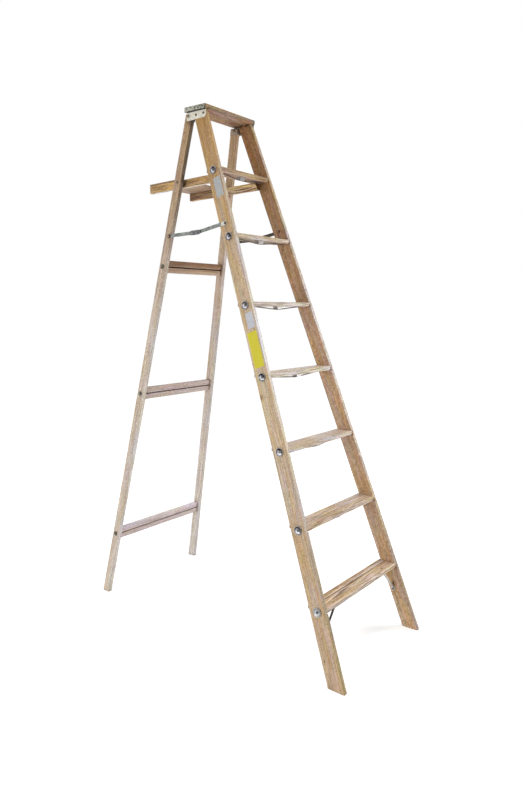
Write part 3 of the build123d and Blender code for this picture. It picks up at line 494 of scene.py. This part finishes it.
def wood(name, turn, face, edge, seed, spread=("X", 0.0, ladder_height), pith=PITH, slant=SLANT,
         contrast=1.0, tint=1.0, fleck=0.3, mottle=0.0, dirt_and_shade=0.5, marks=()):
    """Sawn board, dry and unvarnished: growth rings, bands, streaks and fibres, knots, and edges and
    corners darkened by grime and painted shade.

    The face and edge colours are spread over a range of one of the board's own axes.
    """
    graph = Graph(name)
    inputs = {"Vector": graph.object_place(), "Rotation": turn}
    board = graph.node("Mapping", {"vector_type": "TEXTURE"}, inputs).outputs["Vector"]
    shifts = [tuple(seed * part for part in shift) for shift in SEED_SHIFTS]
    bent = wandering(graph, board, shifts[0])
    rings = growth_rings(graph, bent, pith, slant)
    layers = {}
    for layer, (repeats, shift, detail) in GRAIN.items():
        layers[layer] = graph.grain(bent, repeats, shifts[shift], detail)["Fac"]
    tone = graph.total(
        (BAND_PART, graph.stretch(layers["bands"])),
        (1.0 - BAND_PART - RING_PART - FIBRE_PART - fleck - mottle, graph.stretch(layers["streaks"])),
        (RING_PART, rings),
        (FIBRE_PART, graph.stretch(layers["fibres"])),
        (fleck, graph.remap(layers["flecks"], 0.38, 0.62)),
        (mottle, graph.remap(layers["clouds"], 0.35, 0.65)),
    )

    axis, start, end = spread
    share = graph.math("SUBTRACT", graph.axes(board)[axis], start)
    share = graph.math("DIVIDE", share, end - start)
    on_face = graph.remap(graph.facing(turn, (0.0, 0.0, 1.0)), 0.45, 0.85)
    colour = graph.mix(on_face, graph.ramp(share, edge), graph.ramp(share, face))
    sawn_end = graph.remap(graph.facing(turn, (1.0, 0.0, 0.0)), 0.6, 0.85)
    colour = graph.mix(sawn_end, colour, SAWN_END_TINT, "MULTIPLY")
    colour = tinted(graph, colour, graph.remap(tone, 0.15, 0.85), TONE_TINT, contrast)
    colour = tinted(graph, colour, graph.stretch(layers["blush"]), BLUSH_TINT, tint)
    colour = tinted(graph, colour, graph.stretch(layers["honey"]), HONEY_TINT, tint)
    colour = marked(graph, colour, board, marks, layers)
    # Sharp edges darken in patches: edge grime, and painted shade of the eased edges.
    patches = graph.remap(layers["streaks"], 0.3, 0.6, 0.2, 0.6)
    edge_grime_and_shade = graph.math("MULTIPLY", graph.edge_wear(0.003), patches)
    colour = graph.mix(edge_grime_and_shade, colour, linear(*WOOD_EDGE_GRIME_AND_SHADE))
    # Corners and recesses darken with dirt and painted shade.
    dirt_and_shade_share = graph.math("MULTIPLY", graph.recess(0.025), dirt_and_shade)
    colour = graph.mix(dirt_and_shade_share, colour, linear(*WOOD_DIRT_AND_SHADE))

    shader = graph.shader
    graph.put(shader.inputs["Base Color"], colour)
    graph.put(shader.inputs["Roughness"], graph.remap(tone, 0.2, 0.8, *WOOD_ROUGHNESS))
    relief = graph.total((0.6, layers["fibres"]), (0.4, rings))
    graph.put(shader.inputs["Normal"], graph.bump(relief, WOOD_RELIEF, 0.5))
    shader.inputs["Specular IOR Level"].default_value = WOOD_SHINE
    return graph.material


def steel_coat(graph, bright, dull, spangle, grime_and_shade, grime_and_shade_reach=0.01):
    """A zinc coat's colour, and the share of bright that its clouds and spangle give.

    The coat is brighter on worn edges, and darker in the recesses with grime and painted shade.
    """
    place = graph.object_place()
    cells = graph.node("TexVoronoi", {}, {"Vector": place, "Scale": spangle}).outputs["Color"]
    cells = graph.node("SeparateColor", {}, {"Color": cells}).outputs["Red"]
    clouds = graph.noise(place, scale=spangle * CLOUD_REPEATS, detail=4.0, roughness=0.6)["Fac"]
    share = graph.total((SPANGLE_PART, cells), (1.0 - SPANGLE_PART, clouds))
    coat = graph.mix(graph.stretch(share), linear(*dull), linear(*bright))
    worn = (*[channel * WORN_GAIN for channel in linear(*bright)[:3]], 1.0)
    coat = graph.mix(graph.math("MULTIPLY", graph.edge_wear(0.0012), WORN_STRENGTH), coat, worn)
    # Recesses darken with grime and painted shade.
    dirt_and_shade_share = graph.math("MULTIPLY", graph.recess(grime_and_shade_reach), grime_and_shade)
    return graph.mix(dirt_and_shade_share, coat, linear(*STEEL_GRIME_AND_SHADE)), share


def finish_steel(graph, coat, share, roughness, metallic, shine=STEEL_SHINE):
    """Shader settings that every steel piece shares, with fine rolling scratches."""
    scratches = graph.noise(graph.place(graph.object_place(), SCRATCHES))["Fac"]
    shader = graph.shader
    graph.put(shader.inputs["Base Color"], coat)
    graph.put(shader.inputs["Roughness"], graph.remap(share, 0.2, 0.8, roughness + 0.15, roughness))
    graph.put(shader.inputs["Normal"], graph.bump(scratches, SCRATCH_DEPTH, 0.4))
    shader.inputs["Metallic"].default_value = metallic
    shader.inputs["Specular IOR Level"].default_value = shine


def plated_steel(name, colours, roughness=0.4, spangle=PLATE_SPANGLE, grime_and_shade=0.7, metallic=0.85):
    """Zinc-coated steel."""
    graph = Graph(name)
    coat, share = steel_coat(graph, *colours, spangle, grime_and_shade)
    finish_steel(graph, coat, share, roughness, metallic)
    return graph.material


def bracket_steel(name):
    """Hinge bracket: clean plate on the rail, weathered flange on the cap's end, and painted shade along
    the bend between them, under the cap's overhang.
    """
    graph = Graph(name)
    place = graph.object_place()
    axes = graph.axes(place)
    bed = graph.math("MULTIPLY", graph.math("SUBTRACT", axes["Y"], cap_low.y), math.tan(CAP_TILT))
    above = graph.math("SUBTRACT", graph.math("SUBTRACT", axes["Z"], cap_low.z), bed)
    on_flange = graph.remap(above, -0.004, -0.001)
    plate, share = steel_coat(graph, *BRACKET_PLATE, WIDE_SPANGLE, grime_and_shade=0.75, grime_and_shade_reach=0.012)
    stains = graph.noise(place, scale=130.0, detail=3.0, roughness=0.6)["Fac"]
    bright, dull = BRACKET_FLANGE
    flange = graph.mix(graph.remap(stains, 0.36, 0.6), linear(*dull), linear(*bright))
    coat = graph.mix(on_flange, plate, flange)
    # Painted shade along the bend.
    from_bend = graph.math("ABSOLUTE", graph.math("ADD", above, BEND_DROP))
    coat = graph.mix(graph.remap(from_bend, 0.0035, 0.0015, 0.0, 0.85), coat, linear(*BRACKET_BEND_SHADE))
    finish_steel(graph, coat, share, roughness=0.42, metallic=0.7)
    return graph.material


def rod_steel(name, colours, head, metallic, shine=STEEL_SHINE):
    """Drawn rod, dulled and rusty between the boards, with a brighter head at each end."""
    graph = Graph(name)
    axes = graph.axes(graph.object_place())
    outward = graph.total((1.0, graph.math("ABSOLUTE", axes["X"])), (flare, axes["Z"]))
    at_head = graph.remap(outward, half_width_at_floor - 0.006, half_width_at_floor - 0.003)
    shank, share = steel_coat(graph, *colours, ROD_SPANGLE, grime_and_shade=0.6)
    capped = graph.mix(graph.stretch(share), linear(*ROD_HEAD_DULL), linear(*head))
    finish_steel(graph, graph.mix(at_head, shank, capped), share, 0.36, metallic, shine)
    return graph.material


def block_steel(name):
    """Pressed truss blocks: bright on the flat underside, with painted shade on the folded sides."""
    graph = Graph(name)
    coat, share = steel_coat(graph, *BLOCK, ROD_SPANGLE, grime_and_shade=0.5)
    level = graph.math("ABSOLUTE", graph.axes(graph.object_normal())["Z"])
    coat = graph.mix(graph.remap(level, 0.75, 0.45), coat, linear(*BLOCK_SIDE_SHADE))
    finish_steel(graph, coat, share, roughness=0.4, metallic=0.5)
    return graph.material


def washer_steel(name):
    """Dished washers of the step rods: painted shade at the top of the dish, a painted highlight at the
    bottom.

    The lowest pair is paler all round. The washers repeat up the rail, so one pattern does for all.
    """
    graph = Graph(name)
    axes = graph.axes(graph.object_place())
    climbed = graph.math("ADD", axes["Z"], step_pitch / 2 - lowest_dish_z)
    height = graph.math("FLOORED_MODULO", climbed, step_pitch)
    height = graph.math("SUBTRACT", height, step_pitch / 2)
    above_lowest = graph.math("SUBTRACT", graph.math("SUBTRACT", axes["Z"], height), lowest_dish_z)
    depth = graph.math("SUBTRACT", axes["Y"], lowest_dish_y)
    depth = graph.math("SUBTRACT", depth, graph.math("MULTIPLY", above_lowest, front_slope))
    away = graph.length(graph.node("CombineXYZ", {}, {"X": depth, "Y": height}).outputs["Vector"])
    coat, share = steel_coat(graph, *STEP_WASHER, FINE_SPANGLE, grime_and_shade=0.3, grime_and_shade_reach=0.012)

    blotch = graph.noise(graph.object_place(), scale=90.0, detail=1.0)["Fac"]
    # Painted shade at the top of each dish, a painted highlight at its bottom.
    down = graph.total((0.5, depth), (-0.85, height), (0.03, graph.math("SUBTRACT", blotch, 0.5)))
    dish = graph.math("DIVIDE", down, washer_radius)
    half_way = lowest_dish_z + 0.5 * step_pitch
    # Towards the lowest pair, the dish's painted shade and highlight give way to flatter, paler colours.
    fresh = graph.remap(axes["Z"], half_way, lowest_dish_z + 0.2 * step_pitch, 0.0, 0.7)
    wall = graph.mix(graph.remap(dish, -0.2, 1.0), *[linear(*end) for end in WASHER_WALL])
    wall = graph.mix(fresh, wall, linear(*LOWEST_PAIR_WALL))
    floor = graph.mix(graph.remap(dish, -0.45, 0.5), *[linear(*end) for end in WASHER_FLOOR])
    floor = graph.mix(fresh, floor, linear(*LOWEST_PAIR_FLOOR))
    coat = graph.mix(graph.remap(away, washer_radius * 0.98, washer_radius * 0.88), coat, wall)
    coat = graph.mix(graph.remap(away, washer_radius * 0.74, washer_radius * 0.58), coat, floor)
    finish_steel(graph, coat, share, roughness=0.32, metallic=0.85)
    return graph.material


def spreader_steel(side):
    """One side's spreader bars, with a colour of their own at each end and where the bars lap. The left
    side's pale front end is a painted highlight, and the right side's dark colours are painted shade.
    """
    graph = Graph(side + "_spreader_steel")
    along = graph.axes(graph.object_place())["Y"]
    coat, share = steel_coat(graph, *SPREADER[side], PLATE_SPANGLE, grime_and_shade=0.7)
    lap_end = lap_start + LAP_LENGTH
    after_start = graph.remap(along, lap_start, lap_start + SPREADER_FADE)
    before_end = graph.remap(along, lap_end, lap_end - SPREADER_FADE)
    coat = graph.mix(graph.math("MULTIPLY", after_start, before_end), coat, linear(*SPREADER_LAP[side]))
    front_end = spreader_front + SPREADER_END
    rear_end = spreader_rear - SPREADER_END
    at_front = graph.remap(along, front_end + SPREADER_FADE, front_end)
    at_rear = graph.remap(along, rear_end, rear_end + SPREADER_FADE)
    coat = graph.mix(at_front, coat, linear(*SPREADER_FRONT_END[side]))
    coat = graph.mix(at_rear, coat, linear(*SPREADER_REAR_END[side]))
    finish_steel(graph, coat, share, roughness=0.4, metallic=0.8)
    return graph.material


def rivet_steel(name, colours, stain):
    """Rivets, with those on the right side stained like the wood."""
    graph = Graph(name)
    coat, share = steel_coat(graph, *colours, FINE_SPANGLE, grime_and_shade=0.7)
    on_right = graph.remap(graph.axes(graph.object_place())["X"], 0.0, 0.01)
    coat = graph.mix(on_right, coat, linear(*stain))
    finish_steel(graph, coat, share, roughness=0.45, metallic=0.6)
    return graph.material


def film(name, fresh, faded):
    """Plain coloured film stuck on the rail: mottled, scuffed, and faded along its edges."""
    graph = Graph(name)
    place = graph.object_place()
    mottle = graph.noise(place, scale=130.0, detail=4.0, roughness=0.6)["Fac"]
    creases = graph.noise(graph.place(place, (60.0, 160.0, 25.0)), detail=3.0)["Fac"]
    scuffs = graph.noise(graph.place(place, (30.0, 500.0, 120.0)))["Fac"]
    pale = linear(*faded)
    coat = graph.mix(graph.remap(mottle, 0.35, 0.7, 0.0, 0.6), linear(*fresh), pale)
    coat = graph.mix(graph.remap(scuffs, 0.58, 0.75, 0.0, 0.5), coat, pale)
    coat = graph.mix(graph.math("MULTIPLY", graph.edge_wear(0.002), 0.5), coat, pale)
    shader = graph.shader
    graph.put(shader.inputs["Base Color"], coat)
    graph.put(shader.inputs["Roughness"], graph.remap(mottle, 0.3, 0.7, 0.3, 0.5))
    graph.put(shader.inputs["Normal"], graph.bump(creases, 0.0006, 0.5))
    return graph.material


def dress(name, material):
    """Gives a CAD node its material."""
    mesh = nodes[name].data
    mesh.materials.clear()
    mesh.materials.append(material)


def dress_side_boards():
    """The rails, rear legs and shelf arms, with the grain along their own lengths."""
    for number, (side, sign) in enumerate((("left", -1), ("right", 1))):
        outward = (sign, 0.0, 0.0)
        rail_turn = board_turn((-sign * flare, front_slope, 1.0), outward)
        rail = wood(side + "_rail_wood", rail_turn, RAIL_FACE[side], RAIL_EDGE[side], RAIL_SEED + number,
                    contrast=RAIL_CONTRAST[side], tint=RAIL_TINT[side], mottle=RAIL_MOTTLE[side],
                    dirt_and_shade=RAIL_DIRT_AND_SHADE[side], marks=RAIL_MARKS[side])
        dress(side + "_side_rail", rail)
        leg_turn = board_turn((-sign * flare, -rear_slope, 1.0), outward)
        leg = wood(side + "_leg_wood", leg_turn, LEG_FACE[side], LEG_EDGE[side], LEG_SEED + number,
                   contrast=LEG_CONTRAST, tint=REAR_TINT, marks=LEG_MARKS[side])
        dress(side + "_rear_leg", leg)
        arm_turn = board_turn((0.0, 1.0, 0.0), outward)
        arm = wood(side + "_arm_wood", arm_turn, ARM_FACE[side], ARM_EDGE[side], ARM_SEED + number,
                   spread=("X", *ARM_COLOUR_RANGE), pith=ARM_PITH, slant=ARM_SLANT,
                   contrast=ARM_CONTRAST[side], fleck=ARM_FLECK)
        dress(side + "_shelf_arm", arm)


def dress_cross_boards():
    """The steps, cap, shelf board and rear rails, with the grain from side to side."""
    across = (1.0, 0.0, 0.0)
    flat_turn = board_turn(across, (0.0, 0.0, 1.0))
    for number in range(step_count):
        name = f"step_{number + 1}"
        step = wood(name + "_wood", flat_turn, [STEP_FACE[number]], [STEP_EDGE[number]],
                    STEP_SEED + number, slant=STEP_SLANT, contrast=STEP_CONTRAST[number],
                    fleck=STEP_FLECK, marks=STEP_MARKS.get(number + 1, ()))
        dress(name, step)
    cap = wood("cap_wood", flat_turn, CAP_FACE, CAP_EDGE, CAP_SEED, spread=("X", cap_low.x, cap_high.x),
               pith=CAP_PITH, contrast=CAP_CONTRAST, tint=CAP_TINT, marks=CAP_MARKS)
    dress("top_cap", cap)
    dress("shelf_board", wood("shelf_wood", flat_turn, [SHELF_FACE], [SHELF_EDGE], SHELF_SEED))

    upright_turn = board_turn(across, (0.0, -1.0, -rear_slope))
    upward = Vector((0.0, -rear_slope, 1.0)).normalized()
    for number in range(rear_rail_count):
        name = f"rear_rail_{number + 1}"
        rail = wood(name + "_wood", upright_turn, REAR_RAIL_FACE[number], [REAR_RAIL_EDGE[number]],
                    REAR_RAIL_SEED + number, spread=("Y", *reach(name, upward)), tint=REAR_TINT,
                    dirt_and_shade=REAR_RAIL_DIRT_AND_SHADE[number])
        dress(name, rail)


def dress_paired_metal():
    """The steel nodes that each side has of its own."""
    bracket = bracket_steel("bracket_steel")
    lap_rivet = plated_steel("lap_rivet_steel", LAP_RIVET, roughness=0.35, spangle=FINE_SPANGLE,
                             grime_and_shade=0.3, metallic=0.5)
    ferrules = {
        "left": plated_steel("left_ferrule_steel", FERRULE["left"], roughness=0.6, metallic=0.4),
        "right": plated_steel("right_ferrule_steel", FERRULE["right"], roughness=0.55,
                              spangle=WIDE_SPANGLE, grime_and_shade=0.4),
    }
    braces = {
        "left": plated_steel("left_brace_steel", BRACE["left"], metallic=0.4),
        "right": plated_steel("right_brace_steel", BRACE["right"], metallic=0.3),
    }
    for side in ("left", "right"):
        spreader = spreader_steel(side)
        dress(side + "_hinge_bracket", bracket)
        dress(side + "_leg_ferrule", ferrules[side])
        dress(side + "_spreader_front_bar", spreader)
        dress(side + "_spreader_rear_bar", spreader)
        dress(side + "_spreader_lap_rivets", lap_rivet)
        dress(side + "_step_brace", braces[side])


def dress_other_metal():
    """The rods, truss blocks, washers, rivets, nails and screws."""
    step_rod = rod_steel("step_rod_steel", STEP_ROD, STEP_ROD_HEAD, metallic=0.45)
    rear_rod = rod_steel("rear_rod_steel", REAR_ROD, REAR_ROD_HEAD, metallic=0.2, shine=0.2)
    top_rear_rod = rod_steel("top_rear_rod_steel", TOP_REAR_ROD, REAR_ROD_HEAD, metallic=0.1, shine=0.1)
    for number in range(1, step_count + 1):
        dress(f"truss_rod_{number}", step_rod)
    for number in range(1, rear_rail_count):
        dress(f"rear_rod_{number}", rear_rod)
    dress(f"rear_rod_{rear_rail_count}", top_rear_rod)

    dress("truss_blocks", block_steel("block_steel"))
    dress("step_rod_washers", washer_steel("step_washer_steel"))
    rear_washer = plated_steel("rear_washer_steel", REAR_WASHER, spangle=FINE_SPANGLE, grime_and_shade=0.8)
    dress("rear_rod_washers", rear_washer)
    bracket_rivet = rivet_steel("bracket_rivet_steel", BRACKET_RIVET, BRACKET_RIVET_STAIN)
    dress("bracket_rivets", bracket_rivet)
    dark_rivet = rivet_steel("dark_rivet_steel", SPREADER_FRONT_RIVET, SPREADER_RIVET_STAIN)
    dress("spreader_front_rivets", dark_rivet)
    rusty_rivet = plated_steel("rusty_rivet_steel", SPREADER_REAR_RIVET, roughness=0.5,
                               spangle=FINE_SPANGLE, metallic=0.4)
    dress("spreader_rear_rivets", rusty_rivet)
    pivot = plated_steel("rivet_steel", PIVOT_RIVET, spangle=FINE_SPANGLE)
    for name in ("hinge_pivot_rivets", "shelf_pivot_bolts"):
        dress(name, pivot)
    nail = plated_steel("nail_steel", NAIL, roughness=0.45, spangle=FINE_SPANGLE)
    for name in ("cap_nails", "shelf_nails", "brace_screws"):
        dress(name, nail)


def dress_stickers():
    """The three plain stickers on the left rail."""
    dress("upper_sticker", film("pale_sticker", *UPPER_STICKER))
    dress("middle_sticker", film("bluish_sticker", *MIDDLE_STICKER))
    dress("lower_sticker", film("yellow_sticker", *LOWER_STICKER))


def seen_ray(tree):
    """1 for rays that show the surroundings, straight or in metal or glass, and 0 for others."""
    path = tree.nodes.new("ShaderNodeLightPath")
    total = path.outputs["Is Camera Ray"]
    for name in ("Is Glossy Ray", "Is Transmission Ray"):
        either = tree.nodes.new("ShaderNodeMath")
        either.operation = "MAXIMUM"
        tree.links.new(total, either.inputs[0])
        tree.links.new(path.outputs[name], either.inputs[1])
        total = either.outputs[0]
    return total


def make_world():
    """White surroundings that light the ladder less strongly than they show."""
    world = bpy.data.worlds.new("studio")
    bpy.context.scene.world = world
    world.use_nodes = True
    tree = world.node_tree
    background = tree.nodes["Background"]
    background.inputs["Color"].default_value = WHITE
    strength = tree.nodes.new("ShaderNodeMapRange")
    strength.inputs["To Min"].default_value = WORLD_LIGHT
    strength.inputs["To Max"].default_value = WORLD_SEEN
    tree.links.new(seen_ray(tree), strength.inputs["Value"])
    tree.links.new(strength.outputs["Result"], background.inputs["Strength"])


def make_floor():
    """A pale floor that keeps the ladder's shadow and fades to white."""
    half = FLOOR_HALF
    corners = [(-half, -half, 0.0), (half, -half, 0.0), (half, half, 0.0), (-half, half, 0.0)]
    mesh = bpy.data.meshes.new("floor")
    mesh.from_pydata(corners, [], [(0, 1, 2, 3)])
    floor = bpy.data.objects.new("floor", mesh)
    bpy.context.scene.collection.objects.link(floor)
    graph = Graph("pale_floor")
    shader = graph.shader
    shader.inputs["Base Color"].default_value = FLOOR_COLOUR
    shader.inputs["Roughness"].default_value = FLOOR_ROUGHNESS
    shader.inputs["Specular IOR Level"].default_value = 0.0
    shader.inputs["Emission Color"].default_value = WHITE
    glow = graph.remap(graph.length(graph.object_place()), *FLOOR_GLOW_REACH, *FLOOR_GLOW)
    graph.put(shader.inputs["Emission Strength"], graph.math("MULTIPLY", seen_ray(graph.tree), glow))
    mesh.materials.append(graph.material)


def make_lamp(name, place, target, size, power):
    """A square soft box aimed at a point."""
    data = bpy.data.lights.new(name, "AREA")
    data.shape = "SQUARE"
    data.size = size
    data.energy = power
    lamp = bpy.data.objects.new(name, data)
    lamp.location = place
    lamp.rotation_euler = (Vector(target) - Vector(place)).to_track_quat("-Z", "Y").to_euler()
    bpy.context.scene.collection.objects.link(lamp)


def make_camera():
    """The photograph's viewpoint."""
    forward = Vector((math.sin(YAW) * math.cos(PITCH), math.cos(YAW) * math.cos(PITCH), math.sin(PITCH)))
    level = Vector((math.cos(YAW), -math.sin(YAW), 0.0))
    above = level.cross(forward)
    right = level * math.cos(ROLL) + above * math.sin(ROLL)
    up = above * math.cos(ROLL) - level * math.sin(ROLL)
    data = bpy.data.cameras.new("photo_camera")
    data.sensor_width = SENSOR
    data.lens = LENS
    data.shift_x = SHIFT_X
    data.shift_y = SHIFT_Y
    camera = bpy.data.objects.new("photo_camera", data)
    turn = Matrix((right, up, -forward)).transposed().to_4x4()
    camera.matrix_world = Matrix.Translation(EYE) @ turn
    bpy.context.scene.collection.objects.link(camera)
    bpy.context.scene.camera = camera


dress_side_boards()
dress_cross_boards()
dress_paired_metal()
dress_other_metal()
dress_stickers()
make_world()
make_floor()
for lamp_name, lamp_settings in LAMPS.items():
    make_lamp(lamp_name, *lamp_settings)
make_camera()
bpy.context.scene.view_settings.view_transform = "Standard"
